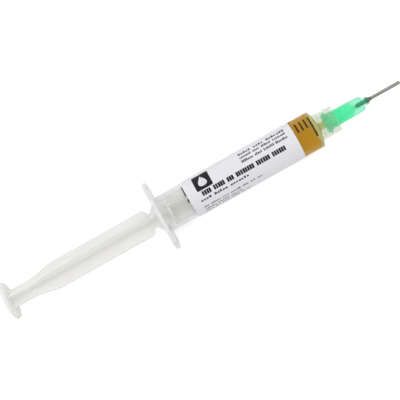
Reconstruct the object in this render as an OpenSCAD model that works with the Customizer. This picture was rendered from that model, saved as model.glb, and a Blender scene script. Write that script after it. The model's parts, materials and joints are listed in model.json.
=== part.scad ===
// Pre-filled flux syringe, lying on its side as it comes to rest.
// A 5 ml barrel with finger flange and luer-lock collar, plunger rod with rubber gasket,
// gel fill, wrapped paper label, and a blunt dispensing needle screwed into the collar.
// Every sub-part is drawn along the syringe axis, +X towards the needle tip, with x = 0 on
// the flange's front face. place() then lays the whole syringe on the bench.

/* [Barrel] */
// Diameter of the bore
bore_d = 12.2; // [10:0.1:16]
// Thickness of the barrel wall
wall = 0.75; // [0.6:0.05:1.2]
// Length from the flange's front face to the shoulder
barrel_l = 61.4; // [56:0.1:80]
// Length of the sloping shoulder outside
shoulder_l = 1; // [0.6:0.1:2]
// Radius that rounds the shoulder's outer edge
shoulder_round = 0.5; // [0.2:0.1:0.9]
// Length of the conical front end of the bore
bore_cone_l = 2.4; // [1.6:0.1:4]
// Distance of the bore's front end from the shoulder, where the scale's zero line is
bore_short = 0.7; // [0.1:0.05:1]
// Thickness of the wall between the bore's conical end and the collar
end_wall = 0.45; // [0.3:0.05:0.8]
// Length of the flared mouth at the back of the bore
mouth_l = 0.5; // [0.2:0.1:0.7]
// Height of the bead inside the mouth that keeps the plunger in
keeper_h = 0.2; // [0.1:0.05:0.3]

/* [Finger flange] */
// Length of the flange across the syringe, tip to tip
flange_l = 26.3; // [22:0.1:34]
// Width of the flange between its two flats
flange_w = 15.6; // [15:0.1:20]
// Thickness of the flange
flange_t = 1.4; // [1.2:0.1:2.5]
// Radius between the barrel and the flange
flange_fillet = 0.6; // [0.2:0.1:0.8]
// Chamfer round the flange's edges
flange_chamfer = 0.25; // [0.1:0.05:0.4]

/* [Luer lock] */
// Diameter of the nozzle's tip
nozzle_tip_d = 3.93; // [3.6:0.01:4.2]
// Diameter that the luer cone gains in each millimetre of length
luer_taper = 0.06; // [0.04:0.005:0.08]
// Diameter of the nozzle's bore
nozzle_bore_d = 2.2; // [1.2:0.1:2.6]
// How far the nozzle stands out past the collar
nozzle_reach = 2.1; // [1:0.1:3]
// Inner diameter of the collar, at the root of its thread
collar_bore_d = 8; // [7.8:0.05:8.6]
// Wall thickness of the collar
collar_wall = 0.7; // [0.5:0.05:1]
// Depth of the collar, from its floor to its mouth
collar_depth = 5.8; // [5:0.1:8]

/* [Plunger rod] */
// Diameter of the thumb disc
disc_d = 14.4; // [12:0.1:15]
// Thickness of the thumb disc
disc_t = 1.3; // [1:0.1:2]
// Length of the rod from the thumb disc to its seat against the gasket
rod_l = 72.4; // [66:0.2:90]
// Thickness of the crossed ribs at their edges
rib_t = 0.7; // [0.5:0.05:1.2]
// Thickness of the crossed ribs at the axis, which the mould's draft makes thicker
rib_root_t = 1.3; // [1.2:0.05:1.8]
// Clearance between the ribs' edges and the bore
rib_clear = 0.65; // [0.4:0.05:1.2]
// Half-width of the ribs by the thumb disc
slim_r = 3.55; // [2.6:0.05:4.2]
// Length of the slim stretch by the thumb disc
slim_l = 8.2; // [6:0.1:14]
// Length over which the ribs widen
widen_l = 10.5; // [8:0.5:16]
// Radius where the ribs meet the thumb disc
foot_r = 1.1; // [0.4:0.1:1.6]
// Distance of the snap-off neck from the seat
neck_back = 15.1; // [13:0.1:20]
// Half-width of the ribs at the snap-off neck
neck_r = 2.9; // [2:0.1:3.6]
// Length of the neck's slope on each side
neck_slope = 1.9; // [1.4:0.1:3]
// Radius that rounds the ribs' corner behind the neck
rib_corner = 1.6; // [0.8:0.1:2]
// Distance of the guide disc from the seat
guide_back = 7.8; // [5:0.1:10]
// Thickness of the guide disc
guide_t = 0.9; // [0.6:0.1:1.4]
// Clearance between the guide disc and the bore
guide_clear = 0.35; // [0.3:0.05:0.8]
// Thickness of the plate that pushes the gasket
seat_t = 1; // [0.7:0.1:1.6]
// Turn of the ribs about the syringe axis, from level towards upright
rod_turn = -26; // [-90:1:90]
// Diameter of the mould's gate mark on the side of a rib
gate_d = 0.9; // [0.4:0.1:1.2]
// Height of the gate mark
gate_h = 0.25; // [0.1:0.05:0.4]
// Distance of the gate mark from the thumb disc
gate_from = 2.5; // [2:0.1:6]
// Distance of the gate mark's middle from the rib's edge
gate_in = 0.65; // [0.6:0.05:1.6]

/* [Gasket] */
// Length of the gasket from its back to its front sealing edge
gasket_l = 7; // [6:0.1:9]
// Width of each sealing rib
seal_w = 1.4; // [0.8:0.1:1.8]
// Depth of the groove between the sealing ribs
seal_groove = 0.55; // [0.3:0.05:0.8]
// Radius of the flat end of the nose
nose_tip_r = 1.6; // [1.2:0.1:2.4]
// Radius of the rod's stem inside the gasket
stem_r = 2.5; // [1.8:0.1:2.8]
// Length of the rod's stem inside the gasket
stem_l = 1.6; // [1:0.1:2.2]
// Radius of the rod's snap head
head_r = 3.6; // [3:0.1:4]
// Length of the rod's snap head
head_l = 2.8; // [2:0.1:3.2]

/* [Filling] */
// Millilitres of flux gel left in the barrel
fill_ml = 5; // [3:0.1:5.2]
// How far the gel has run into the nozzle's passage
gel_reach = 2.6; // [0.5:0.1:8]

/* [Label] */
// Distance of the label's back edge from the flange's front face
label_from = 11; // [6:0.1:14]
// Length of the label along the barrel
label_l = 42.7; // [30:0.1:46]
// Thickness of the label
label_t = 0.1; // [0.06:0.01:0.2]
// Clearance where the label's two ends meet
seam_gap = 0.25; // [0.1:0.05:0.6]
// Place of the seam round the barrel, from level towards upright
seam_turn = 30.6; // [0:0.1:90]

/* [Needle hub] */
// Distance of the hub's back from the collar's floor
hub_lift = 1.5; // [1:0.1:2.5]
// Diameter of the hub in front of its lugs
hub_back_d = 5.9; // [5.7:0.05:6.6]
// Diameter of the hub at its front shoulder
hub_front_d = 5.5; // [5:0.05:6.2]
// Length of the hub's body
hub_l = 15.2; // [14:0.1:20]
// Length of the chamfer on the hub's front shoulder
hub_chamfer = 0.9; // [0.5:0.1:1.5]
// Diameter of the boss that holds the cannula
boss_d = 3; // [2.6:0.1:3.6]
// Length of the boss
boss_l = 2.1; // [1.5:0.1:3]
// Length of the hub's hollow, up to its conical end
hollow_l = 10.6; // [9:0.1:12]
// Length of the hollow's conical end
hollow_cone_l = 2; // [1:0.1:2.8]
// Diameter of the hub's rim behind the lugs
rim_d = 6.3; // [6.2:0.05:6.8]
// Thickness of each lug at its root
lug_root = 1.5; // [1:0.1:1.8]
// Thickness of each lug at its crest
lug_crest = 0.6; // [0.4:0.05:0.8]
// How far round the hub each lug reaches, in degrees
lug_arc = 44; // [30:1:50]
// Distance of the lugs' middle from the hub's back
lug_from = 1; // [0.9:0.05:1.4]

/* [Cannula] */
// Outer diameter of the cannula
cannula_d = 1.27; // [0.8:0.01:1.6]
// Inner diameter of the cannula
cannula_bore_d = 0.84; // [0.4:0.01:0.9]
// Length of cannula that stands out of the hub
cannula_reach = 12.7; // [6:0.1:26]
// Diameter of the adhesive well in the end of the boss
well_d = 2.1; // [1.9:0.05:2.3]
// Depth of the adhesive well
well_l = 1; // [0.5:0.1:1.4]
// Length of the adhesive's taper along the cannula
bead_l = 1.2; // [0.6:0.1:2]

/* [Clearances] */
// Clearance between the gasket's sealing ribs and the bore
seal_gap = 0.03; // [0.01:0.01:0.08]
// Clearance round the rod's head in the gasket
snap_gap = 0.06; // [0.02:0.01:0.1]
// Clearance between the two luer cones
luer_gap = 0.02; // [0.01:0.01:0.05]
// Clearance between the lugs' crests and the collar's bore
lug_gap = 0.12; // [0.05:0.01:0.2]
// Clearance between the adhesive and what it bonds
bond_gap = 0.02; // [0.01:0.01:0.04]
// Clearance between the gel and the gasket's nose
gel_gap = 0.02; // [0.01:0.01:0.05]

/* [Hidden] */
$fn = 96;

// Sides of each short arc in an outline
arc_steps = 6;
// Steps of the curve along which the ribs widen
widen_steps = 12;
// Degrees through which the ribs' corner turns behind the neck
corner_turn = 75;
// Overlap of shapes that are joined or cut, so that no face is shared
eps = 0.01;

bore_r = bore_d / 2;
barrel_r = bore_r + wall;
nozzle_bore_r = nozzle_bore_d / 2;

// Places along the axis at the front of the barrel
cone_start = barrel_l - bore_short;
cone_end = cone_start + bore_cone_l;
collar_floor = cone_end + end_wall;
collar_mouth = collar_floor + collar_depth;
nozzle_tip = collar_mouth + nozzle_reach;
collar_r = collar_bore_d / 2 + collar_wall;
shoulder_end = barrel_l + shoulder_l;

// Radius of the nozzle's luer cone at a place along the axis
function nozzle_r(x) = nozzle_tip_d / 2 + luer_taper / 2 * (nozzle_tip - x);

// Places along the axis at the needle
hub_back = collar_floor + hub_lift;
hub_front = hub_back + hub_l;
boss_front = hub_front + boss_l;
hollow_end = hub_back + hollow_l;
cannula_back = hollow_end + hollow_cone_l;
cannula_tip = boss_front + cannula_reach;
cannula_r = cannula_d / 2;
socket_r = nozzle_r(hub_back) + luer_gap;
hollow_r = socket_r - luer_taper / 2 * hollow_l;
lug_r = collar_bore_d / 2 - lug_gap;

// Places along the axis at the plunger, which follow from the filling
seal_x = cone_start - fill_ml * 1000 / (PI * pow(bore_r, 2));
seat_x = seal_x - gasket_l;
disc_front = seat_x - rod_l;
nose_l = bore_cone_l * (bore_r - nose_tip_r) / (bore_r - nozzle_bore_r);

// Half-widths of the plunger rod
wide_r = bore_r - rib_clear;
guide_r = bore_r - guide_clear;
seat_r = bore_r - seal_groove;

// Whole length, and the place of the axis above the bench
back_x = disc_front - disc_t;
middle_x = (back_x + cannula_tip) / 2;
axis_z = max(flange_w, disc_d, 2 * barrel_r) / 2;

// Points of an arc about [x, y], from angle a0 to a1
function arc(x, y, r, a0, a1) =
    [for (i = [0:arc_steps]) let (a = a0 + (a1 - a0) * i / arc_steps) [x + r * cos(a), y + r * sin(a)]];

// Eases from 0 to 1
function ease(t) = t * t * (3 - 2 * t);

// Lays the syringe on the bench, its middle over the origin
module place() translate([-middle_x, 0, axis_z]) children();

// Turns a profile of [radius, distance along the axis] about the syringe axis
module turned() rotate([0, 90, 0]) rotate_extrude() children();

// The same for part of a turn, from an angle measured from level towards upright
module turned_part(from, sweep)
    rotate([0, 90, 0]) rotate([0, 0, 90 + from]) rotate_extrude(angle = sweep) children();

// Extrudes an outline drawn in [level, upright] along the syringe axis
module along(x, l) translate([x, 0, 0]) rotate([90, 0, 90]) linear_extrude(l) children();

// A disc with a full round rim
module round_disc_profile(r, x, t) {
    translate([0, x]) square([r - t / 2, t]);
    translate([r - t / 2, x + t / 2]) circle(d = t);
}

// Flange outline: round ends between two flats
module flange_outline(inset) {
    intersection() {
        circle(d = flange_l - 2 * inset);
        square([flange_l, flange_w - 2 * inset], center = true);
    }
}

module flange() {
    along(-flange_t + flange_chamfer, flange_t - 2 * flange_chamfer) flange_outline(0);
    along(-flange_t, flange_t) flange_outline(flange_chamfer);
}

// Outside of the barrel, from the flange to the end of the shoulder
module barrel_outside_profile() {
    slope = atan2(barrel_r - collar_r, shoulder_l);
    polygon(concat(
        [[0, -flange_t], [barrel_r - eps, -flange_t]],
        [[barrel_r + flange_fillet, -eps], [barrel_r + flange_fillet, 0]],
        [for (p = arc(barrel_r + flange_fillet, flange_fillet, flange_fillet, 270, 180)) p],
        arc(barrel_r - shoulder_round, barrel_l - shoulder_round * tan(slope / 2), shoulder_round, 0, slope),
        [[collar_r, shoulder_end], [collar_r, collar_mouth], [0, collar_mouth]]
    ));
}

// Space inside the collar, round the nozzle
module collar_space_profile() {
    polygon([
        [nozzle_r(collar_floor), collar_floor],
        [collar_bore_d / 2, collar_floor],
        [collar_bore_d / 2, collar_mouth + eps],
        [0, collar_mouth + eps],
        [0, collar_mouth],
        [nozzle_r(collar_mouth), collar_mouth]
    ]);
}

// Bore with its flared mouth, keeper bead, conical end and nozzle passage
module bore_profile() {
    keeper_x = -flange_t + mouth_l;
    polygon([
        [0, -flange_t - eps],
        [bore_r + mouth_l / 2, -flange_t - eps],
        [bore_r - keeper_h, keeper_x],
        [bore_r - keeper_h, keeper_x + keeper_h],
        [bore_r, keeper_x + 3 * keeper_h],
        [bore_r, cone_start],
        [nozzle_bore_r, cone_end],
        [nozzle_bore_r, nozzle_tip + eps],
        [0, nozzle_tip + eps]
    ]);
}

module barrel() color([0.88, 0.91, 0.88, 0.45]) difference() {
    union() {
        flange();
        turned() difference() {
            barrel_outside_profile();
            collar_space_profile();
        }
        turned() polygon([
            [0, collar_floor - eps],
            [nozzle_r(collar_floor), collar_floor - eps],
            [nozzle_r(collar_floor), collar_floor],
            [nozzle_tip_d / 2, nozzle_tip],
            [0, nozzle_tip]
        ]);
    }
    turned() bore_profile();
}

// Edge of one rib, from the thumb disc to the seat, as [distance along the axis, half-width]
function rib_edge() = let (
    neck_x = seat_x - neck_back,
    corner_x = neck_x - neck_slope - rib_corner / 2
) concat(
    [[disc_front - disc_t / 2, slim_r + foot_r]],
    [for (i = [1:arc_steps]) arc(disc_front + foot_r, slim_r + foot_r, foot_r, 180, 270)[i]],
    [for (i = [0:widen_steps]) [disc_front + slim_l + widen_l * i / widen_steps,
                                slim_r + (wide_r - slim_r) * ease(i / widen_steps)]],
    arc(corner_x, wide_r - rib_corner, rib_corner, 90, 90 - corner_turn),
    [[neck_x - 0.2 * neck_slope, neck_r], [neck_x + 0.2 * neck_slope, neck_r]],
    [[neck_x + 1.2 * neck_slope, wide_r], [seat_x - seat_t / 2, wide_r]]
);

// Half the thickness of a rib at a distance from the axis
function rib_half_t(r) = (rib_root_t - (rib_root_t - rib_t) * r / wide_r) / 2;

// One rib, cut from a plate whose two sides slope with the mould's draft
module rib() {
    edge = rib_edge();
    past_edge = 1.2 * wide_r;
    half_t = rib_half_t(past_edge);
    intersection() {
        translate([0, 0, -rib_root_t]) linear_extrude(2 * rib_root_t)
            polygon(concat(edge, [for (i = [len(edge) - 1:-1:0]) [edge[i][0], -edge[i][1]]]));
        along(back_x, seat_x - back_x) polygon([
            [0, rib_root_t / 2], [past_edge, half_t], [past_edge, -half_t],
            [0, -rib_root_t / 2], [-past_edge, -half_t], [-past_edge, half_t]
        ]);
    }
}

// Round mark on the side of a rib, where the mould was filled
module gate_mark() {
    mark_r = slim_r - gate_in;
    translate([disc_front + gate_from, mark_r, 0]) cylinder(d = gate_d, h = rib_half_t(mark_r) + gate_h);
}

module plunger_rod() color([0.93, 0.94, 0.92]) {
    rotate([rod_turn, 0, 0]) rib();
    rotate([rod_turn + 90, 0, 0]) {
        rib();
        gate_mark();
    }
    turned() round_disc_profile(disc_d / 2, back_x, disc_t);
    turned() translate([0, seat_x - guide_back - guide_t / 2]) square([guide_r, guide_t]);
    turned() polygon([
        [0, seat_x - seat_t],
        [seat_r, seat_x - seat_t],
        [seat_r, seat_x],
        [stem_r, seat_x],
        [stem_r, seat_x + stem_l],
        [head_r, seat_x + stem_l],
        [head_r, seat_x + stem_l + head_l / 2],
        [head_r / 2, seat_x + stem_l + head_l],
        [0, seat_x + stem_l + head_l]
    ]);
}

module gasket_outside_profile() {
    groove_r = bore_r - seal_groove;
    seal_r = bore_r - seal_gap;
    polygon([
        [0, seat_x + snap_gap],
        [groove_r, seat_x + snap_gap],
        [groove_r, seat_x + seal_groove],
        [seal_r, seat_x + 2 * seal_groove],
        [seal_r, seat_x + 2 * seal_groove + seal_w],
        [groove_r, seat_x + 3 * seal_groove + seal_w],
        [groove_r, seal_x - seal_groove - seal_w],
        [seal_r, seal_x - seal_w],
        [seal_r, seal_x],
        [nose_tip_r, seal_x + nose_l],
        [0, seal_x + nose_l]
    ]);
}

module gasket_pocket_profile() {
    pocket_x = seat_x + stem_l - snap_gap;
    polygon([
        [0, seat_x],
        [stem_r + snap_gap, seat_x],
        [stem_r + snap_gap, pocket_x],
        [head_r + snap_gap, pocket_x],
        [head_r + snap_gap, pocket_x + head_l / 2 + 2 * snap_gap],
        [head_r / 2 + snap_gap, pocket_x + head_l + 2 * snap_gap],
        [0, pocket_x + head_l + 2 * snap_gap]
    ]);
}

module gasket() color([0.12, 0.12, 0.12]) turned() difference() {
    gasket_outside_profile();
    gasket_pocket_profile();
}

module flux_gel() {
    gel_front = min(cone_end + gel_reach, nozzle_tip);
    color([0.72, 0.5, 0.08]) turned() polygon([
        [0, seal_x + nose_l + gel_gap],
        [nose_tip_r, seal_x + nose_l + gel_gap],
        [bore_r - seal_gap, seal_x + gel_gap],
        [bore_r, seal_x + gel_gap],
        [bore_r, cone_start],
        [nozzle_bore_r, cone_end],
        [nozzle_bore_r, gel_front],
        [0, gel_front]
    ]);
}

module label() {
    seam_angle = seam_gap / barrel_r * 180 / PI;
    color([0.9, 0.9, 0.93]) turned_part(seam_turn + seam_angle / 2, 360 - seam_angle)
        translate([barrel_r, label_from]) square([label_t, label_l]);
}

// Section of a lug, thinner at its crest
module lug_profile() {
    polygon([
        [hub_back_d / 2 - eps, hub_back + lug_from - lug_root / 2],
        [lug_r, hub_back + lug_from - lug_crest / 2],
        [lug_r, hub_back + lug_from + lug_crest / 2],
        [hub_back_d / 2 - eps, hub_back + lug_from + lug_root / 2]
    ]);
}

module needle_hub() color([0.24, 0.88, 0.6]) difference() {
    union() {
        turned() polygon([
            [0, hub_back],
            [rim_d / 2, hub_back],
            [rim_d / 2, hub_back + lug_from],
            [hub_back_d / 2, hub_back + 2 * lug_from],
            [hub_front_d / 2, hub_front - hub_chamfer],
            [boss_d / 2 + hub_chamfer, hub_front],
            [boss_d / 2, hub_front],
            [boss_d / 2, boss_front],
            [0, boss_front]
        ]);
        for (side = [0, 180])
            turned_part(side - lug_arc / 2, lug_arc) lug_profile();
    }
    turned() polygon([
        [0, hub_back - eps],
        [socket_r, hub_back - eps],
        [socket_r, hub_back],
        [hollow_r, hollow_end],
        [cannula_r, cannula_back],
        [cannula_r, boss_front - well_l],
        [well_d / 2, boss_front - well_l],
        [well_d / 2, boss_front + eps],
        [0, boss_front + eps]
    ]);
}

module cannula() color([0.62, 0.61, 0.58]) turned()
    translate([cannula_bore_d / 2, cannula_back])
        square([(cannula_d - cannula_bore_d) / 2, cannula_tip - cannula_back]);

module adhesive_bead() {
    inner_r = cannula_r + bond_gap;
    outer_r = well_d / 2 - bond_gap;
    color([0.25, 0.27, 0.26]) turned() polygon([
        [inner_r, boss_front - well_l + bond_gap],
        [outer_r, boss_front - well_l + bond_gap],
        [outer_r, boss_front],
        [inner_r + (outer_r - inner_r) / 3, boss_front + bead_l / 3],
        [inner_r + bond_gap, boss_front + bead_l],
        [inner_r, boss_front + bead_l]
    ]);
}

place() barrel();
place() plunger_rod();
place() gasket();
place() flux_gel();
place() label();
place() needle_hub();
place() cannula();
place() adhesive_bead();
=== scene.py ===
"""Flux syringe: surfaces, printed marks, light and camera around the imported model."""

import json
import math
import random

import bmesh
import bpy
from mathutils import Matrix, Vector


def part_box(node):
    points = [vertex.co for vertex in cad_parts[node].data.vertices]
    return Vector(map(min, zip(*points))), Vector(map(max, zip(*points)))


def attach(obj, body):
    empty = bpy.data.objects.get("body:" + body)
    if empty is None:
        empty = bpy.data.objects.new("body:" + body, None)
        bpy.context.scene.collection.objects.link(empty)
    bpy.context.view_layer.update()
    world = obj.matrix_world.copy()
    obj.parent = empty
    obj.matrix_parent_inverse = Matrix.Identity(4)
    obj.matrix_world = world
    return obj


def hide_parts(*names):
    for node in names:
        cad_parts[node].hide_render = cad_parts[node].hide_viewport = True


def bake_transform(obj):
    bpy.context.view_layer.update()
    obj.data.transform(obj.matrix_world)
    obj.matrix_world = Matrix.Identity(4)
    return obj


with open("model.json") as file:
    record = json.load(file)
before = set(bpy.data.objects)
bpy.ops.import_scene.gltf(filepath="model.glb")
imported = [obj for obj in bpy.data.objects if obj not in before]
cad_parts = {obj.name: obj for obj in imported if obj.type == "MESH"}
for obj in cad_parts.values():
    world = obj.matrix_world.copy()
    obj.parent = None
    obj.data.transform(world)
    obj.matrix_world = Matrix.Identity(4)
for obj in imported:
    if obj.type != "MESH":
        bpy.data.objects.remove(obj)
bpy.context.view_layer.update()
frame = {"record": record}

MM = 0.001
mounts = {m["name"]: m for m in frame["record"]["mounts"]}

# Profiles are drawn in millimetres, with x = 0 on the flange's front face and radii from the syringe's axis.
FLANGE_X = mounts["flange_front"]["pos_m"][0] / MM
AXIS_Z = mounts["barrel_outside"]["pos_m"][2] / MM


def span(node, axis):
    """Lowest and highest place of a CAD node along an axis, in the profiles' millimetres."""
    start = (FLANGE_X, 0, AXIS_Z)[axis]
    low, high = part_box(node)
    return low[axis] / MM - start, high[axis] / MM - start


# Barrel
BARREL_R = mounts["barrel_outside"]["dims"]["r_mm"]
BORE_R = 6.1
BARREL_END = 61.4
SHOULDER_L = 1.0
SHOULDER_ROUND = 0.5
FLANGE_L = 2 * span("barrel", 1)[1]
FLANGE_W = 2 * span("barrel", 2)[1]
FLANGE_T = -span("barrel", 0)[0]
FLANGE_CHAMFER = 0.12
FLANGE_FILLET = 0.6
MOUTH_FLARE = 0.25
KEEPER_H = 0.2
KEEPER_X = -FLANGE_T + 0.5
CONE_START = 60.7
CONE_END = 63.1
NOZZLE_BORE_R = 1.1
NOZZLE_TIP_X = span("barrel", 0)[1]
NOZZLE_TIP_R = 1.965
LUER_SLOPE = 0.03
COLLAR_FLOOR = 63.55
COLLAR_MOUTH = 69.35
COLLAR_R = 4.7
COLLAR_BORE_R = 4.0

# Thread in the collar: two starts, right-handed
THREAD_LEAD = 5.0
THREAD_STARTS = 2
THREAD_CREST_R = 3.5
THREAD_CREST_W = 0.7
THREAD_ROOT_W = 1.2
THREAD_SINK = 0.05
THREAD_END_SHARE = 0.12
THREAD_FROM = 64.25
THREAD_TO = 68.75

# Needle
HUB_BACK = span("needle_hub", 0)[0]
BOSS_FRONT = span("needle_hub", 0)[1]
BOSS_L = 2.1
BOSS_R = 1.5
HUB_FRONT = BOSS_FRONT - BOSS_L
HUB_CHAMFER = 0.9
HUB_BACK_R = 2.95
HUB_FRONT_R = 2.75
RIM_R = 3.15
LUG_R = span("needle_hub", 1)[1]
LUG_MIDDLE = HUB_BACK + 1.0
LUG_ROOT = 1.5
LUG_CREST = 0.6
LUG_ARC = 44
LUG_SIDE_ARC = 1.2
RIM_SLOPE_L = 1.0
SOCKET_CLEARANCE = 0.02
SOCKET_R = NOZZLE_TIP_R + LUER_SLOPE * (NOZZLE_TIP_X - HUB_BACK) + SOCKET_CLEARANCE
HOLLOW_L = 10.6
HOLLOW_END = HUB_BACK + HOLLOW_L
HOLLOW_R = SOCKET_R - LUER_SLOPE * HOLLOW_L
CANNULA_BACK, CANNULA_TIP = span("cannula", 0)
CANNULA_R = mounts["cannula_outside"]["dims"]["r_mm"]
CANNULA_BORE_R = 0.42
WELL_R = 1.05
WELL_L = 1.0
# The hub's hole lies this far inside the cannula's surface.
HOLE_SINK = 0.02
# The ring of adhesive stands this far off the well that it fills.
BEAD_CLEARANCE = 0.02
BEAD_BORE_R = CANNULA_R + 0.005
BEAD_TIP = span("adhesive_bead", 0)[1]

# Plunger
BACK_X, HEAD_X = span("plunger_rod", 0)
DISC_R = span("plunger_rod", 1)[1]
DISC_T = 1.3
DISC_FRONT = BACK_X + DISC_T
DISC_DISH = 0.15
DISC_RIM_W = 0.8
DISC_RIM_FOOT_W = 2.2
SEAT_X = 10.928
SEAT_T = 1.0
SEAT_R = 5.55
STEM_R = 2.5
STEM_L = 1.6
HEAD_R = 3.6
GUIDE_X = SEAT_X - 7.8
GUIDE_R = 5.75
GUIDE_T = 0.9
NECK_X = SEAT_X - 15.1
NECK_R = 2.9
NECK_SLOPE = 1.9
# Share of the slope's length that the neck stays slim, on each side of its middle
NECK_SLIM = 0.2
RIB_T = 0.7
RIB_ROOT_T = 1.3
RIB_EDGE_ROUND = 0.15
RIB_ROOT_ROUND = 0.7
SLIM_R = 3.55
SLIM_L = 8.2
WIDEN_L = 10.5
WIDE_R = 5.45
FOOT_R = 1.1
RIB_CORNER = 1.6
RIB_CORNER_SWING = math.radians(75)
ROD_TURN = -26
GATE_R = 0.45
GATE_TAPER = 0.08
GATE_H = 0.25
GATE_FROM = 2.5
GATE_IN = 0.65

# Gasket and gel
SEAL_X = 17.928
NOSE_R = 1.6
NOSE_L = span("gasket", 0)[1] - SEAL_X
GROOVE_R = 5.55
SEAL_R = span("gasket", 1)[1]
SEAL_W = 1.4
SEAL_GROOVE = 0.55
SNAP_CLEARANCE = 0.06
GEL_GAP = 0.02
GEL_RIM_W = 0.3
GEL_FRONT = span("flux_gel", 0)[1]
MENISCUS = 0.3
# The gel wets the wall: its surface lies this far inside the plastic, so that no air shows between them.
WETTING = 0.04

# Label and marks
LABEL_FROM, LABEL_TO = span("label", 0)
LABEL_T = 0.1
LABEL_SEAM = 30.6
LABEL_SEAM_GAP = 1.0
LABEL_SKEW = 0.5
# Under the label, where the look of the barrel changes from dry to wet inside
WET_FROM = (LABEL_FROM + LABEL_TO) / 2
INK_T = 0.012
INK_LIFT = 0.004
LABEL_FACE_R = BARREL_R + INK_LIFT + LABEL_T + INK_LIFT

# Printed scale: its lines and a numeral, by place along the barrel and angle round it
SCALE_ZERO = CONE_START - 0.25
SCALE_STEP_ML = 0.2
SCALE_PITCH = SCALE_STEP_ML * 1000 / (math.pi * BORE_R**2)
SCALE_LINE_W = 0.55
LINES_IN_VIEW = 4
LINE_FROM, LINE_TO, ZERO_LINE_TO = 43, 76, 111
LAST_LINE = LABEL_FROM - 0.38
TICK_FROM, TICK_TO = 86, 97
NUMERAL_TOP = LABEL_TO + 1.2
NUMERAL_L = 3
NUMERAL_STEM = (17, 21)
FLAG_W = 0.5
FLAG_SLOPE = 0.22

# Label print: low x, high x, first angle, last angle and the number of words
HEADING = (15.9, 48.9, 86.5, 100.5, 6)
SMALL_LINES = (
    (14.3, 33.4, 107, 114, 3),
    (14.3, 37.2, 131, 136, 7),
    (14.3, 28.8, 142, 147, 4),
    (14.3, 31.9, 153, 158, 6),
    (33.1, 51.2, 37, 45, 3),
    (33.1, 51.2, 50, 58, 4),
    (33.1, 51.2, 64, 72, 4),
)
WORD_LENGTHS = (3, 8)
SHORT_CELL = 0.32
PRINT_SEED = 4
ICON_X = (14.7, 21.0)
ICON_ANGLES = (31.2, 83)
ICON_CORNER = 0.3
DROP_MARGIN = 9
DROP_W = 3.6

# Studio
FLOOR_DROP = 0.00005
FLOOR_COLOR = 0.65
FLOOR_GLOW = 0.6
HORIZON = 1.0
ZENITH = 0.65

# The photo's view, in millimetres and degrees. The camera stands this high above the syringe's axis.
CAMERA_HEIGHT = 380
CAMERA_X = 8.66
CAMERA_Y = -1.85
AIM_X = -2.17
SYRINGE_SLOPE = 29.3
VIEW_ANGLE = 20.98
SENSOR_W = 36


# Meshes


def at(x, r, bend=0.0, shape=None):
    """A corner of a profile.

    bend is the radius that rounds it, and shape(angle, x, r) gives its distance from the axis all round.
    """
    return x, r, bend, shape


def softened(corners, closed):
    """The profile with each corner that has a bend radius rounded."""
    steps = 4
    points = []
    count = len(corners)
    for i, (x, r, bend, shape) in enumerate(corners):
        here = Vector((x, r))
        if not bend or not closed and i in (0, count - 1):
            points.append((x, r, shape))
            continue
        before = Vector(corners[i - 1][:2]) - here
        after = Vector(corners[(i + 1) % count][:2]) - here
        turn = math.pi - before.angle(after)
        cut = min(bend * math.tan(turn / 2), 0.45 * before.length, 0.45 * after.length)
        start = here + before.normalized() * cut
        end = here + after.normalized() * cut
        for k in range(steps + 1):
            t = k / steps
            p = start * (1 - t) ** 2 + here * 2 * t * (1 - t) + end * t**2
            points.append((p.x, p.y, shape))
    return points


def angles_round(steps, needed=()):
    """Evenly spaced angles from +Y towards +Z, with each needed one in the place of its nearest."""
    angles = [360 * k / steps for k in range(steps)]
    for angle in needed:
        nearest = min(range(steps), key=lambda k: abs(angles[k] - angle % 360))
        angles[nearest] = angle % 360
    return angles


def placed(x, angle, r):
    """The point at a place along the syringe, an angle round its axis and a distance from it, in metres."""
    a = math.radians(angle)
    return Vector(((x + FLANGE_X) * MM, r * math.cos(a) * MM, (r * math.sin(a) + AXIS_Z) * MM))


def add_object(name, mesh_data, sharp=35):
    """A new object from a bmesh, its normals outward, smooth but for edges sharper than an angle."""
    bmesh.ops.recalc_face_normals(mesh_data, faces=mesh_data.faces)
    mesh = bpy.data.meshes.new(name)
    mesh_data.to_mesh(mesh)
    mesh_data.free()
    mesh.shade_smooth()
    mesh.set_sharp_from_angle(angle=math.radians(sharp))
    made = bpy.data.objects.new(name, mesh)
    bpy.context.scene.collection.objects.link(made)
    return made


def turned(name, corners, closed=True, steps=128, needed=(), sharp=35):
    """An object from a profile turned about the axis. An open profile starts and ends on the axis."""
    made = bmesh.new()
    angles = angles_round(steps, needed)
    rings = []
    for x, r, shape in softened(corners, closed):
        if r == 0:
            rings.append([made.verts.new(placed(x, 0, 0))] * steps)
        else:
            rings.append([made.verts.new(placed(x, a, shape(a, x, r) if shape else r)) for a in angles])
    pairs = list(zip(rings, rings[1:]))
    if closed:
        pairs.append((rings[-1], rings[0]))
    for low, high in pairs:
        for k in range(steps):
            j = (k + 1) % steps
            corners_of_face = list(dict.fromkeys((low[k], low[j], high[j], high[k])))
            made.faces.new(corners_of_face)
    return add_object(name, made, sharp)


def add_sweep(made, sections):
    """Adds a closed skin through sections with equal numbers of points, capped at both ends, to a bmesh."""
    rings = [[made.verts.new(p) for p in section] for section in sections]
    count = len(rings[0])
    for low, high in zip(rings, rings[1:]):
        for k in range(count):
            j = (k + 1) % count
            made.faces.new((low[k], low[j], high[j], high[k]))
    made.faces.new(rings[0])
    made.faces.new(rings[-1])


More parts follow.
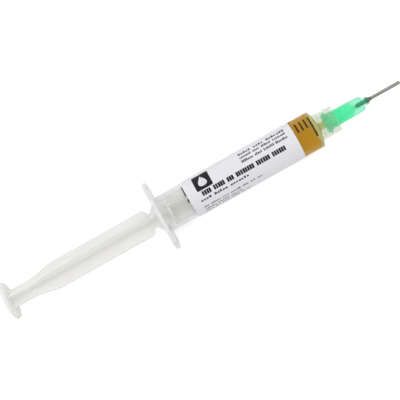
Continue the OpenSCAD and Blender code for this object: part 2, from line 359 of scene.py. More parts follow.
def joined(name, objects, sharp=35):
    """The union of several closed objects, as one solid skin."""
    base = objects[0]
    for other in objects[1:]:
        union = base.modifiers.new("union", "BOOLEAN")
        union.operation = "UNION"
        union.solver = "EXACT"
        union.object = other
    graph = bpy.context.evaluated_depsgraph_get()
    mesh = bpy.data.meshes.new_from_object(base.evaluated_get(graph))
    mesh.name = name
    mesh.shade_smooth()
    mesh.set_sharp_from_angle(angle=math.radians(sharp))
    for used in objects:
        bpy.data.objects.remove(used)
    made = bpy.data.objects.new(name, mesh)
    bpy.context.scene.collection.objects.link(made)
    return made


def add_patch(made, rows, radius, thickness):
    """Adds a thin closed patch on the barrel to a bmesh. Each row is (angle, low x, high x)."""
    under, over = (
        [[made.verts.new(placed(x, angle, r)) for x in (low, high)] for angle, low, high in rows]
        for r in (radius, radius + thickness)
    )
    last = len(rows) - 1
    for i in range(last):
        made.faces.new((over[i][0], over[i][1], over[i + 1][1], over[i + 1][0]))
        made.faces.new((under[i][1], under[i][0], under[i + 1][0], under[i + 1][1]))
        for side in (0, 1):
            made.faces.new((under[i][side], over[i][side], over[i + 1][side], under[i + 1][side]))
    for i in (0, last):
        made.faces.new((under[i][0], over[i][0], over[i][1], under[i][1]))


def dash_rows(low, high, angle_from, angle_to):
    """Rows of a plain bar between two places along the barrel and two angles round it."""
    count = max(2, math.ceil(abs(angle_to - angle_from) / 3) + 1)
    return [(angle_from + (angle_to - angle_from) * k / (count - 1), low, high) for k in range(count)]


# Materials


class Surface:
    """A Principled material whose colour, roughness and bump come from noise in object space."""

    def __init__(self, name, color, roughness, **sockets):
        self.material = bpy.data.materials.new(name)
        self.material.use_nodes = True
        self.nodes = self.material.node_tree.nodes
        self.links = self.material.node_tree.links
        self.shader = self.nodes["Principled BSDF"]
        self.shader.inputs["Base Color"].default_value = (*color, 1)
        self.shader.inputs["Roughness"].default_value = roughness
        for socket, value in sockets.items():
            self.shader.inputs[socket.replace("_", " ")].default_value = value
        self.place = self.nodes.new("ShaderNodeTexCoord").outputs["Object"]

    def noise(self, grain_mm, stretch=(1, 1, 1), detail=3.0):
        """Noise whose grain has this size, drawn out along the axes by stretch."""
        mapping = self.nodes.new("ShaderNodeMapping")
        mapping.inputs["Scale"].default_value = [1 / (grain_mm * MM * s) for s in stretch]
        self.links.new(self.place, mapping.inputs["Vector"])
        noise = self.nodes.new("ShaderNodeTexNoise")
        noise.inputs["Scale"].default_value = 1
        noise.inputs["Detail"].default_value = detail
        self.links.new(mapping.outputs["Vector"], noise.inputs["Vector"])
        return noise.outputs["Fac"]

    def vary_color(self, fac, dark, light, low=0.35, high=0.65):
        ramp = self.nodes.new("ShaderNodeValToRGB")
        ramp.color_ramp.elements[0].position = low
        ramp.color_ramp.elements[0].color = (*dark, 1)
        ramp.color_ramp.elements[1].position = high
        ramp.color_ramp.elements[1].color = (*light, 1)
        self.links.new(fac, ramp.inputs["Fac"])
        self.links.new(ramp.outputs["Color"], self.shader.inputs["Base Color"])

    def vary_roughness(self, fac, low, high):
        spread = self.nodes.new("ShaderNodeMapRange")
        spread.inputs["From Min"].default_value = 0.3
        spread.inputs["From Max"].default_value = 0.7
        spread.inputs["To Min"].default_value = low
        spread.inputs["To Max"].default_value = high
        self.links.new(fac, spread.inputs["Value"])
        self.links.new(spread.outputs["Result"], self.shader.inputs["Roughness"])

    def fade_to(self, color, start, end):
        """Base colour that passes to another one between two places along the syringe."""
        base = self.shader.inputs["Base Color"]
        place = self.nodes.new("ShaderNodeSeparateXYZ")
        self.links.new(self.place, place.inputs["Vector"])
        share = self.nodes.new("ShaderNodeMapRange")
        share.interpolation_type = "SMOOTHSTEP"
        share.inputs["From Min"].default_value = (start + FLANGE_X) * MM
        share.inputs["From Max"].default_value = (end + FLANGE_X) * MM
        self.links.new(place.outputs["X"], share.inputs["Value"])
        mix = self.nodes.new("ShaderNodeMixRGB")
        mix.inputs["Color2"].default_value = (*color, 1)
        self.links.new(share.outputs["Result"], mix.inputs["Fac"])
        self.links.new(base.links[0].from_socket, mix.inputs["Color1"])
        self.links.new(mix.outputs["Color"], base)

    def bump(self, fac, depth_mm):
        bump = self.nodes.new("ShaderNodeBump")
        bump.inputs["Distance"].default_value = depth_mm * MM
        self.links.new(fac, bump.inputs["Height"])
        self.links.new(bump.outputs["Normal"], self.shader.inputs["Normal"])


def clear_plastic(name, tint, ior, alpha, passing, low=0.08, high=0.16):
    """Barrel: natural polypropylene.

    passing is the share of light that goes through unscattered, and its roughness lies between low and high.
    """
    made = Surface(name, tint, high, IOR=ior, Alpha=alpha, Transmission_Weight=passing)
    made.vary_color(made.noise(6, (4, 1, 1)), [0.993 * c for c in tint], tint)
    made.vary_roughness(made.noise(1.5, (5, 1, 1)), low, high)
    return made.material


def white_plastic():
    """Plunger rod: white polypropylene with a soft moulded skin."""
    made = Surface(
        "white_polypropylene",
        (0.883, 0.876, 0.858),
        0.38,
        IOR=1.49,
        Subsurface_Weight=0.8,
        Subsurface_Radius=(1.0, 1.0, 0.9),
        Subsurface_Scale=0.001,
    )
    made.vary_color(made.noise(5, (3, 1, 1)), (0.868, 0.861, 0.841), (0.898, 0.891, 0.875))
    made.vary_roughness(made.noise(1.2), 0.32, 0.45)
    made.bump(made.noise(0.3, (1, 1, 1), 2), 0.003)
    return made.material


def rubber():
    """Gasket: black moulded rubber, dull, with a fine grain."""
    made = Surface("black_rubber", (0.02, 0.02, 0.021), 0.55, IOR=1.52)
    made.vary_color(made.noise(1.0), (0.016, 0.016, 0.017), (0.035, 0.035, 0.036))
    made.vary_roughness(made.noise(0.5), 0.45, 0.65)
    made.bump(made.noise(0.12), 0.006)
    return made.material


def amber_gel():
    """Flux gel: turbid amber, paler in the cone and nearly clear in the nozzle, where it is thin."""
    made = Surface("amber_gel", (0.79, 0.43, 0.004), 0.35, IOR=1.2, Transmission_Weight=0.65)
    made.vary_color(made.noise(7, (3, 1, 1)), (0.77, 0.415, 0.003), (0.81, 0.445, 0.005))
    made.fade_to((0.9, 0.99, 0.45), CONE_START - 0.8, CONE_START + 0.8)
    made.fade_to((0.98, 1, 0.8), HUB_BACK - 0.5, HUB_BACK + 0.7)
    made.vary_roughness(made.noise(2.5), 0.28, 0.42)
    volume = made.nodes.new("ShaderNodeVolumeAbsorption")
    volume.inputs["Color"].default_value = (0.95, 0.85, 0.3, 1)
    volume.inputs["Density"].default_value = 90
    made.links.new(volume.outputs["Volume"], made.nodes["Material Output"].inputs["Volume"])
    return made.material


def label_paper():
    """Label: smooth white paper with a cool tint and faint fibres."""
    made = Surface("label_paper", (0.84, 0.84, 0.868), 0.5, IOR=1.45)
    made.vary_color(made.noise(0.5, (1, 1, 1), 5), (0.82, 0.82, 0.85), (0.86, 0.86, 0.885))
    made.vary_roughness(made.noise(1.0), 0.42, 0.58)
    made.bump(made.noise(0.18, (1.5, 1, 1), 5), 0.003)
    return made.material


def ink(name, color):
    """Printed ink, a little uneven."""
    made = Surface(name, color, 0.5, Specular_IOR_Level=0.25)
    made.vary_color(made.noise(0.35), [c * 0.75 for c in color], [min(1, c * 1.2) for c in color])
    made.vary_roughness(made.noise(0.4), 0.42, 0.6)
    return made.material


def green_plastic(name, back, front, boss):
    """Needle hub: mint green polypropylene that light shines through.

    back is its colour round the hollow, front its colour in front of that, and boss that of the boss. These
    shifts are painted: they stand in for how the light through the hub looks round the hollow, through the
    solid front and at the boss.
    """
    made = Surface(name, back, 0.12, IOR=1.3, Transmission_Weight=0.97)
    made.vary_color(made.noise(3, (3, 1, 1)), [0.96 * c for c in back], back)
    made.fade_to(front, HOLLOW_END - 0.3, HOLLOW_END + 0.3)
    made.fade_to(boss, HUB_FRONT - 0.2, HUB_FRONT + 0.3)
    made.vary_roughness(made.noise(0.9), 0.28, 0.38)
    return made.material


def drawn_steel(name, dark, light):
    """Cannula: drawn stainless steel with streaks along the tube."""
    made = Surface(name, light, 0.32, Metallic=1.0)
    made.vary_color(made.noise(0.12, (40, 1, 1), 4), dark, light, 0.3, 0.7)
    made.vary_roughness(made.noise(0.1, (30, 1, 1)), 0.25, 0.45)
    made.bump(made.noise(0.06, (50, 1, 1), 2), 0.002)
    return made.material


def adhesive(name, dark, light):
    """Ring of adhesive: dark cured resin, glossy."""
    made = Surface(name, dark, 0.2, IOR=1.52, Coat_Weight=0.3)
    made.vary_color(made.noise(0.5), dark, light)
    made.vary_roughness(made.noise(0.4), 0.15, 0.3)
    made.bump(made.noise(0.35), 0.02)
    return made.material


def finish_piece(piece, material, body, replaced=()):
    """Dresses a piece, makes it move with a body and stand for CAD nodes."""
    piece.data.materials.append(material)
    if body:
        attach(piece, body)
    if replaced:
        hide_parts(*replaced)
    return piece


def dress_faces(piece, material, chosen):
    """A further material for the faces that chosen(x, r) picks by their place along and from the axis."""
    piece.data.materials.append(material)
    index = len(piece.data.materials) - 1
    for face in piece.data.polygons:
        middle = face.center / MM
        if chosen(middle.x - FLANGE_X, math.hypot(middle.y, middle.z - AXIS_Z)):
            face.material_index = index


# Barrel


def flange_edge(angle, x, r):
    """Radius of the flange outline: round ends between two flats."""
    flat = FLANGE_W / 2 - (FLANGE_L / 2 - r)
    return min(r, flat / max(abs(math.sin(math.radians(angle))), 1e-6))


def nozzle_r(x):
    return NOZZLE_TIP_R + LUER_SLOPE * (NOZZLE_TIP_X - x)


def make_barrel():
    inset_r = FLANGE_L / 2 - FLANGE_CHAMFER
    corner = math.degrees(math.asin(FLANGE_W / FLANGE_L))
    return turned(
        "barrel_shell",
        [
            at(-FLANGE_T, BORE_R + MOUTH_FLARE, 0.1),
            at(-FLANGE_T, inset_r, 0, flange_edge),
            at(-FLANGE_T + FLANGE_CHAMFER, FLANGE_L / 2, 0, flange_edge),
            at(-FLANGE_CHAMFER, FLANGE_L / 2, 0, flange_edge),
            at(0, inset_r, 0, flange_edge),
            at(0, BARREL_R, FLANGE_FILLET),
            at(WET_FROM, BARREL_R),
            at(BARREL_END, BARREL_R, SHOULDER_ROUND),
            at(BARREL_END + SHOULDER_L, COLLAR_R, 0.15),
            at(COLLAR_MOUTH, COLLAR_R, 0.12),
            at(COLLAR_MOUTH, COLLAR_BORE_R, 0.12),
            at(COLLAR_FLOOR, COLLAR_BORE_R, 0.1),
            at(COLLAR_FLOOR, nozzle_r(COLLAR_FLOOR), 0.1),
            at(NOZZLE_TIP_X, NOZZLE_TIP_R, 0.12),
            at(NOZZLE_TIP_X, NOZZLE_BORE_R, 0.1),
            at(CONE_END, NOZZLE_BORE_R, 0.3),
            at(CONE_START, BORE_R, 0.3),
            at(WET_FROM, BORE_R),
            at(KEEPER_X + 3 * KEEPER_H, BORE_R, 0.1),
            at(KEEPER_X + KEEPER_H, BORE_R - KEEPER_H, 0.08),
            at(KEEPER_X, BORE_R - KEEPER_H, 0.08),
        ],
        steps=160,
        needed=(corner, 180 - corner, 180 + corner, 360 - corner),
        sharp=25,
    )


def make_thread():
    """The two ridges inside the collar, whose ends run out into the wall over a quarter of their length."""
    made = bmesh.new()
    step = 7.5
    phase = LUG_MIDDLE + THREAD_LEAD / THREAD_STARTS / 2
    root_r = COLLAR_BORE_R + THREAD_SINK
    for start in range(THREAD_STARTS):
        first = (THREAD_FROM - phase) / THREAD_LEAD * 360
        turn = (THREAD_TO - THREAD_FROM) / THREAD_LEAD * 360
        count = round(turn / step)
        sections = []
        for k in range(count + 1):
            angle = first + turn * k / count
            x = phase + THREAD_LEAD * angle / 360
            run_out = min(1, THREAD_END_SHARE + 4 * min(k, count - k) / count)
            crest_r = COLLAR_BORE_R - (COLLAR_BORE_R - THREAD_CREST_R) * run_out
            turn_of_start = angle + 360 * start / THREAD_STARTS
            section = [
                (x - THREAD_ROOT_W / 2, root_r),
                (x - THREAD_CREST_W / 2, crest_r),
                (x + THREAD_CREST_W / 2, crest_r),
                (x + THREAD_ROOT_W / 2, root_r),
            ]
            sections.append([placed(sx, turn_of_start, sr) for sx, sr in section])
        add_sweep(made, sections)
    return add_object("collar_thread", made)


# Plunger


def rib_half_width(x):
    """Half-width of the crossed ribs at a place along the rod."""
    wide_from = DISC_FRONT + SLIM_L
    if x <= DISC_FRONT + FOOT_R:
        inside = max(0.0, FOOT_R**2 - (DISC_FRONT + FOOT_R - x) ** 2)
        return SLIM_R + FOOT_R - math.sqrt(inside)
    if x <= wide_from + WIDEN_L:
        t = min(1, max(0, (x - wide_from) / WIDEN_L))
        return SLIM_R + (WIDE_R - SLIM_R) * t * t * (3 - 2 * t)
    from_neck = x - NECK_X
    if from_neck < -NECK_SLOPE - RIB_CORNER / 2:
        return WIDE_R
    if from_neck < -NECK_SLIM * NECK_SLOPE:
        corner_x = -NECK_SLOPE - RIB_CORNER / 2
        t = (from_neck - corner_x) / RIB_CORNER
        if t < math.sin(RIB_CORNER_SWING):
            return WIDE_R - RIB_CORNER + RIB_CORNER * math.sqrt(1 - t * t)
        low_x, high_x = corner_x + RIB_CORNER * math.sin(RIB_CORNER_SWING), -NECK_SLIM * NECK_SLOPE
        high_r = WIDE_R - RIB_CORNER + RIB_CORNER * math.cos(RIB_CORNER_SWING)
        return high_r + (NECK_R - high_r) * (from_neck - low_x) / (high_x - low_x)
    if from_neck < NECK_SLIM * NECK_SLOPE:
        return NECK_R
    if from_neck < (1 + NECK_SLIM) * NECK_SLOPE:
        return NECK_R + (WIDE_R - NECK_R) * (from_neck / NECK_SLOPE - NECK_SLIM)
    return WIDE_R


def rib_half_t(r):
    """Half the thickness of a rib at a distance from the axis: the mould's draft thins it outwards."""
    return (RIB_ROOT_T - (RIB_ROOT_T - RIB_T) * r / WIDE_R) / 2


def cross_section(half_width):
    """Outline of the crossed ribs as (across, up) pairs, with rounded edges and filleted roots."""
    half_t = rib_half_t(half_width)
    edge, root = RIB_EDGE_ROUND, RIB_ROOT_ROUND
    arm = []
    for k in range(3):
        a = math.radians(-90 + 45 * k)
        arm.append((half_width - edge + edge * math.cos(a), -half_t + edge + edge * math.sin(a)))
    arm += [(p, -q) for p, q in reversed(arm)]
    middle = rib_half_t(root) + root
    for k in range(5):
        a = math.radians(270 - 22.5 * k)
        arm.append((middle + root * math.cos(a), middle + root * math.sin(a)))
    outline = []
    for quarter in range(4):
        turn = math.radians(90 * quarter + ROD_TURN)
        for p, q in arm:
            outline.append((p * math.cos(turn) - q * math.sin(turn), p * math.sin(turn) + q * math.cos(turn)))
    return outline


def make_rod():
    stations = [DISC_FRONT - DISC_T / 2]
    stations += [DISC_FRONT + FOOT_R * (1 - math.cos(math.radians(15 * k))) for k in range(1, 7)]
    stations += [DISC_FRONT + SLIM_L + WIDEN_L * k / 14 for k in range(15)]
    corner_x = NECK_X - NECK_SLOPE - RIB_CORNER / 2
    stations += [corner_x + RIB_CORNER * math.sin(RIB_CORNER_SWING * k / 6) for k in range(7)]
    stations += [NECK_X + NECK_SLOPE * share for share in (-NECK_SLIM, NECK_SLIM, 1 + NECK_SLIM)]
    stations.append(SEAT_X - SEAT_T / 2)
    sections = []
    for x in stations:
        section = cross_section(rib_half_width(x))
        sections.append([Vector(((x + FLANGE_X) * MM, y * MM, (z + AXIS_Z) * MM)) for y, z in section])
    skin = bmesh.new()
    add_sweep(skin, sections)
    ribs = add_object("rod_ribs", skin)
    disc = turned(
        "rod_disc",
        [
            at(BACK_X + DISC_DISH, 0),
            at(BACK_X + DISC_DISH, DISC_R - DISC_RIM_FOOT_W, 1.2),
            at(BACK_X, DISC_R - DISC_RIM_W, 0.4),
            at(BACK_X, DISC_R, DISC_T / 2),
            at(DISC_FRONT, DISC_R, DISC_T / 2),
            at(DISC_FRONT, 0),
        ],
        closed=False,
        steps=96,
    )
    guide = turned(
        "rod_guide",
        [
            at(GUIDE_X - GUIDE_T / 2, 0),
            at(GUIDE_X - GUIDE_T / 2, GUIDE_R, 0.2),
            at(GUIDE_X + GUIDE_T / 2, GUIDE_R, 0.2),
            at(GUIDE_X + GUIDE_T / 2, 0),
        ],
        closed=False,
        steps=96,
    )
    head_back = SEAT_X + STEM_L
    head_l = HEAD_X - head_back
    seat = turned(
        "rod_seat",
        [
            at(SEAT_X - SEAT_T, 0),
            at(SEAT_X - SEAT_T, SEAT_R, 0.15),
            at(SEAT_X, SEAT_R, 0.15),
            at(SEAT_X, STEM_R, 0.15),
            at(head_back, STEM_R, 0.15),
            at(head_back, HEAD_R, 0.2),
            at(head_back + head_l / 2, HEAD_R, 0.4),
            at(HEAD_X, HEAD_R / 2, 0.4),
            at(HEAD_X, 0),
        ],
        closed=False,
        steps=96,
    )
    return joined("plunger_rod_moulding", [ribs, disc, guide, seat, make_gate_pip()])


def make_gate_pip():
    """The low round mark that the mould's gate left on the side of a rib."""
    rib_angle = math.radians(ROD_TURN + 90)
    face_angle = rib_angle + math.pi / 2
    out = (SLIM_R - GATE_IN) * MM
    face = rib_half_t(SLIM_R - GATE_IN) * MM
    centre = Vector(
        (
            (DISC_FRONT + GATE_FROM + FLANGE_X) * MM,
            out * math.cos(rib_angle) + face * math.cos(face_angle),
            out * math.sin(rib_angle) + face * math.sin(face_angle) + AXIS_Z * MM,
        )
    )
    made = bmesh.new()
    bmesh.ops.create_cone(
        made, cap_ends=True, segments=24, radius1=GATE_R, radius2=GATE_R - GATE_TAPER, depth=2 * GATE_H
    )
    normal = Vector((0, math.cos(face_angle), math.sin(face_angle)))
    turn = normal.to_track_quat("Z", "Y").to_matrix().to_4x4()
    made.transform(Matrix.Translation(centre) @ turn @ Matrix.Scale(MM, 4))
    return add_object("rod_pip", made)


def make_gasket():
    groove_back = SEAT_X + 3 * SEAL_GROOVE + SEAL_W
    groove_front = SEAL_X - SEAL_GROOVE - SEAL_W
    back = SEAT_X + SNAP_CLEARANCE
    pocket = SEAT_X + STEM_L - SNAP_CLEARANCE
    head_front = HEAD_X + SNAP_CLEARANCE
    pocket_edge = pocket + (HEAD_X - SEAT_X - STEM_L) / 2 + 2 * SNAP_CLEARANCE
    return turned(
        "gasket_rubber",
        [
            at(head_front, 0),
            at(head_front, HEAD_R / 2 + SNAP_CLEARANCE, 0.3),
            at(pocket_edge, HEAD_R + SNAP_CLEARANCE, 0.3),
            at(pocket, HEAD_R + SNAP_CLEARANCE, 0.1),
            at(pocket, STEM_R + SNAP_CLEARANCE, 0.1),
            at(back, STEM_R + SNAP_CLEARANCE, 0.1),
            at(back, GROOVE_R, 0.2),
            at(SEAT_X + SEAL_GROOVE, GROOVE_R, 0.2),
            at(SEAT_X + 2 * SEAL_GROOVE, SEAL_R, 0.3),
            at(SEAT_X + 2 * SEAL_GROOVE + SEAL_W, SEAL_R, 0.3),
            at(groove_back, GROOVE_R, 0.3),
            at(groove_front, GROOVE_R, 0.3),
            at(SEAL_X - SEAL_W, SEAL_R, 0.3),
            at(SEAL_X, SEAL_R, 0.3),
            at(SEAL_X + NOSE_L, NOSE_R, 0.4),
            at(SEAL_X + NOSE_L, 0),
        ],
        closed=False,
        steps=96,
        sharp=40,
    )


# Gel


def make_gel():
    back = SEAL_X + GEL_GAP
    nose = back + NOSE_L
    wet_r = BORE_R + WETTING
    return turned(
        "flux_gel_fill",
        [
            at(nose, 0),
            at(nose, NOSE_R),
            at(back, wet_r - GEL_RIM_W),
            at(back, wet_r),
            at(CONE_START + WETTING, wet_r, 0.3),
            at(CONE_END + WETTING, NOZZLE_BORE_R + WETTING, 0.3),
            at(GEL_FRONT, NOZZLE_BORE_R + WETTING),
            at(GEL_FRONT - MENISCUS, 0.5 * NOZZLE_BORE_R, 0.3),
            at(GEL_FRONT - MENISCUS, 0),
        ],
        closed=False,
        steps=160,
    )


# Needle


def hub_base_r(x):
    """Radius of the hub between its lugs."""
    if x <= LUG_MIDDLE:
        return RIM_R
    if x <= LUG_MIDDLE + RIM_SLOPE_L:
        return RIM_R + (HUB_BACK_R - RIM_R) * (x - LUG_MIDDLE) / RIM_SLOPE_L
    return HUB_BACK_R


def lug_shape(angle, x, r):
    """Radius of the hub's back, with two lugs level with the axis."""
    from_lug = min(abs((angle - side + 180) % 360 - 180) for side in (0, 180))
    return r if from_lug <= LUG_ARC / 2 else hub_base_r(x)


def make_hub():
    reaches = (LUG_ARC / 2, LUG_ARC / 2 + LUG_SIDE_ARC)
    edges = [side + sign * reach for side in (0, 180) for sign in (-1, 1) for reach in reaches]
    return turned(
        "needle_hub_moulding",
        [
            at(HUB_BACK, SOCKET_R, 0.1),
            at(HUB_BACK, RIM_R, 0.12),
            at(LUG_MIDDLE - LUG_ROOT / 2, hub_base_r(LUG_MIDDLE - LUG_ROOT / 2)),
            at(LUG_MIDDLE - LUG_CREST / 2, LUG_R, 0, lug_shape),
            at(LUG_MIDDLE + LUG_CREST / 2, LUG_R, 0, lug_shape),
            at(LUG_MIDDLE + LUG_ROOT / 2, hub_base_r(LUG_MIDDLE + LUG_ROOT / 2)),
            at(LUG_MIDDLE + RIM_SLOPE_L, HUB_BACK_R, 0.4),
            at(HUB_FRONT - HUB_CHAMFER, HUB_FRONT_R, 0.5),
            at(HUB_FRONT, BOSS_R + HUB_CHAMFER, 0.3),
            at(HUB_FRONT, BOSS_R, 0.15),
            at(BOSS_FRONT, BOSS_R, 0.12),
            at(BOSS_FRONT, WELL_R, 0.08),
            at(BOSS_FRONT - WELL_L, WELL_R),
            at(BOSS_FRONT - WELL_L, CANNULA_R - HOLE_SINK),
            at(CANNULA_BACK, CANNULA_R - HOLE_SINK, 0.1),
            at(HOLLOW_END, HOLLOW_R, 0.4),
        ],
        steps=128,
        needed=edges,
    )


def make_cannula():
    return turned(
        "cannula_tube",
        [
            at(CANNULA_BACK, CANNULA_BORE_R, 0.03),
            at(CANNULA_BACK, CANNULA_R, 0.03),
            at(BOSS_FRONT, CANNULA_R),
            at(CANNULA_TIP, CANNULA_R, 0.06),
            at(CANNULA_TIP, CANNULA_BORE_R, 0.06),
        ],
        steps=64,
    )


def make_bead():
    """The ring of adhesive, drawn up along the cannula in front."""
    back = BOSS_FRONT - WELL_L + BEAD_CLEARANCE
    outer_r = WELL_R - BEAD_CLEARANCE
    return turned(
        "adhesive_ring",
        [
            at(back, BEAD_BORE_R),
            at(back, outer_r),
            at(BOSS_FRONT, outer_r),
            at(BOSS_FRONT + (BEAD_TIP - BOSS_FRONT) / 3, BEAD_BORE_R + 0.14, 0.5),
            at(BEAD_TIP, BEAD_BORE_R + 0.02, 0.02),
            at(BEAD_TIP, BEAD_BORE_R),
        ],
        steps=64,
        sharp=60,
    )


# Label and marks


def label_from(angle):
    """Back edge of the label at an angle: it was wrapped a little askew."""
    return LABEL_FROM + LABEL_SKEW * ((angle - LABEL_SEAM) % 360 / 360 - 0.5)


def make_label():
    made = bmesh.new()
    steps = 160
    first = LABEL_SEAM + LABEL_SEAM_GAP / 2
    turn = 360 - LABEL_SEAM_GAP
    rows = []
    for k in range(steps + 1):
        angle = first + turn * k / steps
        rows.append((angle, label_from(angle), LABEL_TO))
    add_patch(made, rows, BARREL_R + INK_LIFT, LABEL_T)
    return add_object("label_wrap", made)


def print_words(made, line, draw, fill, short_share):
    """Words of plain upright cells along a line of the label, a share of them short."""
    low, high, angle_from, angle_to, words = line
    lengths = [draw.randint(*WORD_LENGTHS) for _ in range(words)]
    pitch = (high - low) / (sum(lengths) + words - 1)
    for i, length in enumerate(lengths):
        first = low + pitch * (sum(lengths[:i]) + i)
        for k in range(length):
            x = first + k * pitch
            width = pitch * draw.uniform(*fill)
            top = angle_from + (angle_to - angle_from) * (SHORT_CELL if draw.random() < short_share else 0)
            add_patch(made, dash_rows(x, x + width, top, angle_to), LABEL_FACE_R, INK_T)


def make_print():
    """Generic cells in the place of the label's heading and small lines."""
    draw = random.Random(PRINT_SEED)
    bold = bmesh.new()
    print_words(bold, HEADING, draw, (0.78, 0.9), 0)
    fine = bmesh.new()
    for line in SMALL_LINES:
        print_words(fine, line, draw, (0.6, 0.84), 0.65)
    return add_object("label_heading", bold), add_object("label_lines", fine)


def make_icon():
    """A dark square with a pale drop, in the place of the label's mark."""
    low, high = ICON_X
    angle_from, angle_to = ICON_ANGLES
    square = bmesh.new()
    rows = dash_rows(low, high, angle_from, angle_to)
    for end in (0, -1):
        rows[end] = (rows[end][0], low + ICON_CORNER, high - ICON_CORNER)
    add_patch(square, rows, LABEL_FACE_R, INK_T)
    drop = bmesh.new()
    middle = (low + high) / 2
    steps = 28
    rows = []
    for k in range(steps + 1):
        # The swing stops just short of the drop's two ends, so that no row is empty.
        swing = math.pi * (k + 0.15) / (steps + 0.3)
        half = 0.65 * DROP_W * math.sin(swing) * math.sin(swing / 2) ** 1.6
        share = (1 - math.cos(swing)) / 2
        angle = angle_from + DROP_MARGIN + (angle_to - angle_from - 2 * DROP_MARGIN) * share
        rows.append((angle, middle - half, middle + half))
    add_patch(drop, rows, LABEL_FACE_R + INK_T + INK_LIFT, INK_T)
    return add_object("label_square", square), add_object("label_drop", drop)


def make_scale():
    """The lines of the barrel's scale that the label leaves open, and a numeral that it half covers."""
    made = bmesh.new()
    half = SCALE_LINE_W / 2
    lines = [(SCALE_ZERO, LINE_FROM, ZERO_LINE_TO)]
    lines += [(SCALE_ZERO - k * SCALE_PITCH, LINE_FROM, LINE_TO) for k in range(1, LINES_IN_VIEW)]
    lines += [(LAST_LINE, LINE_FROM, LINE_TO), (LAST_LINE, TICK_FROM, TICK_TO)]
    patches = [dash_rows(x - half, x + half, angle_from, angle_to) for x, angle_from, angle_to in lines]
    patches.append(dash_rows(NUMERAL_TOP - NUMERAL_L, NUMERAL_TOP, *NUMERAL_STEM))
    flag = []
    for k in range(5):
        top = NUMERAL_TOP - FLAG_SLOPE * k
        flag.append((NUMERAL_STEM[0] - 2 * k, top - FLAG_W, top))
    patches.append(flag)
    for rows in patches:
        add_patch(made, rows, BARREL_R + INK_LIFT, INK_T)
    return add_object("barrel_scale", made)


# Floor, light and camera


def make_floor():
    """A pale floor that takes the shadow, and is white only as the camera, gloss and clear plastic see it."""
    mesh_data = bmesh.new()
    bmesh.ops.create_grid(mesh_data, x_segments=1, y_segments=1, size=3)
    floor = add_object("floor", mesh_data)
    floor.location.z = -FLOOR_DROP
    material = bpy.data.materials.new("floor")
    material.use_nodes = True
    nodes, links = material.node_tree.nodes, material.node_tree.links
    nodes.clear()

    def computed(operation, first, second):
        node = nodes.new("ShaderNodeMath")
        node.operation = operation
        links.new(first, node.inputs[0])
        if isinstance(second, float):
            node.inputs[1].default_value = second
        else:
            links.new(second, node.inputs[1])
        return node.outputs[0]

    diffuse = nodes.new("ShaderNodeBsdfDiffuse")
    diffuse.inputs["Color"].default_value = (FLOOR_COLOR, FLOOR_COLOR, FLOOR_COLOR, 1)
    glow = nodes.new("ShaderNodeEmission")
    glow.inputs["Color"].default_value = (1, 1, 1, 1)
    ray = nodes.new("ShaderNodeLightPath").outputs
    seen = computed("MAXIMUM", ray["Is Camera Ray"], ray["Is Glossy Ray"])
    seen = computed("MAXIMUM", seen, ray["Is Transmission Ray"])
    links.new(computed("MULTIPLY", seen, FLOOR_GLOW), glow.inputs["Strength"])
    both = nodes.new("ShaderNodeAddShader")
    links.new(diffuse.outputs[0], both.inputs[0])
    links.new(glow.outputs[0], both.inputs[1])
    links.new(both.outputs[0], nodes.new("ShaderNodeOutputMaterial").inputs["Surface"])
    floor.data.materials.append(material)


def make_world():
    """An even white studio, a little dimmer overhead."""
    world = bpy.data.worlds.new("studio")
    bpy.context.scene.world = world
    world.use_nodes = True
    nodes, links = world.node_tree.nodes, world.node_tree.links
    background = nodes["Background"]
    background.inputs["Color"].default_value = (1, 1, 1, 1)
    place = nodes.new("ShaderNodeTexCoord")
    direction = nodes.new("ShaderNodeSeparateXYZ")
    fade = nodes.new("ShaderNodeMapRange")
    fade.inputs["To Min"].default_value = HORIZON
    fade.inputs["To Max"].default_value = ZENITH
    links.new(place.outputs["Generated"], direction.inputs["Vector"])
    links.new(direction.outputs["Z"], fade.inputs["Value"])
    links.new(fade.outputs["Result"], background.inputs["Strength"])


def add_panel(name, place, size, power):
    """A soft rectangular lamp that faces the syringe."""
    lamp = bpy.data.lights.new(name, "AREA")
    lamp.shape = "RECTANGLE"
    lamp.size, lamp.size_y = size
    lamp.energy = power
    made = bpy.data.objects.new(name, lamp)
    made.location = place
    made.rotation_euler = (-Vector(place)).to_track_quat("-Z", "Y").to_euler()
    bpy.context.scene.collection.objects.link(made)


def make_camera():
    """The photograph's view: from above, the syringe's axis rising to the right."""
    eye = Vector((CAMERA_X, CAMERA_Y, AXIS_Z + CAMERA_HEIGHT)) * MM
    target = Vector((AIM_X, CAMERA_Y, AXIS_Z)) * MM
    roll = math.radians(SYRINGE_SLOPE)
    up = Vector((math.sin(roll), math.cos(roll), 0))
    back = (eye - target).normalized()
    right = up.cross(back).normalized()
    data = bpy.data.cameras.new("camera")
    data.sensor_width = SENSOR_W
    data.lens = SENSOR_W / 2 / math.tan(math.radians(VIEW_ANGLE) / 2)
    data.clip_start, data.clip_end = 0.01, 10
    camera = bpy.data.objects.new("camera", data)
    axes = Matrix((right, back.cross(right), back)).transposed()
    camera.matrix_world = Matrix.Translation(eye) @ axes.to_4x4()
    bpy.context.scene.collection.objects.link(camera)
    bpy.context.scene.camera = camera


make_camera()
make_world()
make_floor()
add_panel("key_panel", (0.05, 0.4, 0.65), (1.5, 1.0), 2)

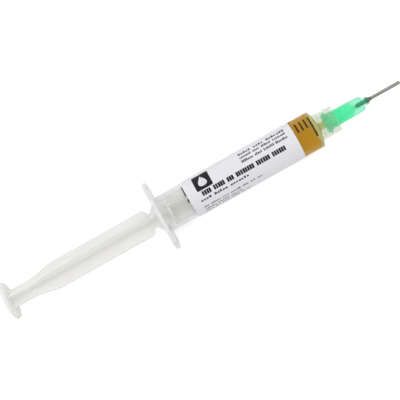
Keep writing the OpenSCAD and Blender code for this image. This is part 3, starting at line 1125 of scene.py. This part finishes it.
barrel = joined("barrel_shell", [make_barrel(), make_thread()], sharp=25)
finish_piece(
    barrel,
    clear_plastic("clear_polypropylene", (0.97, 0.977, 0.967), 1.45, 0.5, 0.93),
    "barrel",
    ["barrel"],
)
dress_faces(
    barrel,
    clear_plastic("milky_polypropylene", (0.965, 0.97, 0.983), 1.45, 0.9, 0.3),
    lambda x, r: x < 0,
)
dress_faces(
    barrel,
    clear_plastic("wet_polypropylene", (0.985, 0.99, 0.985), 1.3, 1, 1),
    lambda x, r: x > WET_FROM,
)
dress_faces(
    barrel,
    clear_plastic("collar_polypropylene", (0.88, 0.91, 0.845), 1.1, 1, 0.93, 0.3, 0.42),
    lambda x, r: x > BARREL_END - SHOULDER_ROUND / 2,
)
dress_faces(
    barrel,
    clear_plastic("nozzle_polypropylene", (0.985, 1, 0.97), 1.1, 1, 1),
    lambda x, r: x > COLLAR_FLOOR and r < nozzle_r(COLLAR_FLOOR) + 0.05,
)
finish_piece(make_rod(), white_plastic(), "plunger_rod", ["plunger_rod"])
finish_piece(make_gasket(), rubber(), "gasket", ["gasket"])
gel = finish_piece(make_gel(), amber_gel(), None, ["flux_gel"])
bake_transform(gel)
hub = make_hub()
# Painted: the hub's greens, outside and on its inner faces, change along it to stand in for how light through
# the hollow and the solid front looks.
hub_green = green_plastic("green_polypropylene", (0.1, 0.9, 0.43), (0.33, 0.86, 0.61), (0.3, 0.7, 0.5))
finish_piece(hub, hub_green, "needle", ["needle_hub"])
inside_green = green_plastic("green_inside", (0.93, 0.99, 0.97), (0.28, 0.97, 0.62), (0.6, 0.9, 0.8))
dress_faces(hub, inside_green, lambda x, r: x < BOSS_FRONT - WELL_L and r < SOCKET_R + 0.05)
cannula = make_cannula()
steel = drawn_steel("stainless_steel", (0.25, 0.242, 0.227), (0.4, 0.39, 0.368))
finish_piece(cannula, steel, "needle", ["cannula"])
# Painted: inside the hub the steel takes a green that stands in for the tint and shade of the light reaching
# it through the green hub.
painted_hub_tint_steel = drawn_steel("painted_hub_tint_steel", (0.08, 0.3, 0.18), (0.15, 0.48, 0.3))
dress_faces(cannula, painted_hub_tint_steel, lambda x, r: x < BOSS_FRONT)
bead = make_bead()
resin = adhesive("cured_adhesive", (0.07, 0.08, 0.075), (0.15, 0.165, 0.155))
finish_piece(bead, resin, "adhesive", ["adhesive_bead"])
shaded_resin = adhesive("shaded_adhesive", (0.08, 0.3, 0.19), (0.14, 0.45, 0.3))
dress_faces(bead, shaded_resin, lambda x, r: x < BOSS_FRONT)
finish_piece(make_label(), label_paper(), "barrel", ["label"])

black_ink = ink("black_ink", (0.008, 0.008, 0.01))
grey_ink = ink("grey_ink", (0.06, 0.06, 0.075))
heading, lines = make_print()
finish_piece(heading, black_ink, "barrel")
finish_piece(lines, grey_ink, "barrel")
square, drop = make_icon()
finish_piece(square, black_ink, "barrel")
finish_piece(drop, ink("white_ink", (0.8, 0.8, 0.84)), "barrel")
finish_piece(make_scale(), black_ink, "barrel")

bpy.context.scene.view_settings.view_transform = "Standard"

# Through the collar, hub, nozzle and gel and out again, light crosses more faces than the default lets it.
bpy.context.scene.cycles.max_bounces = 32
bpy.context.scene.cycles.transmission_bounces = 32
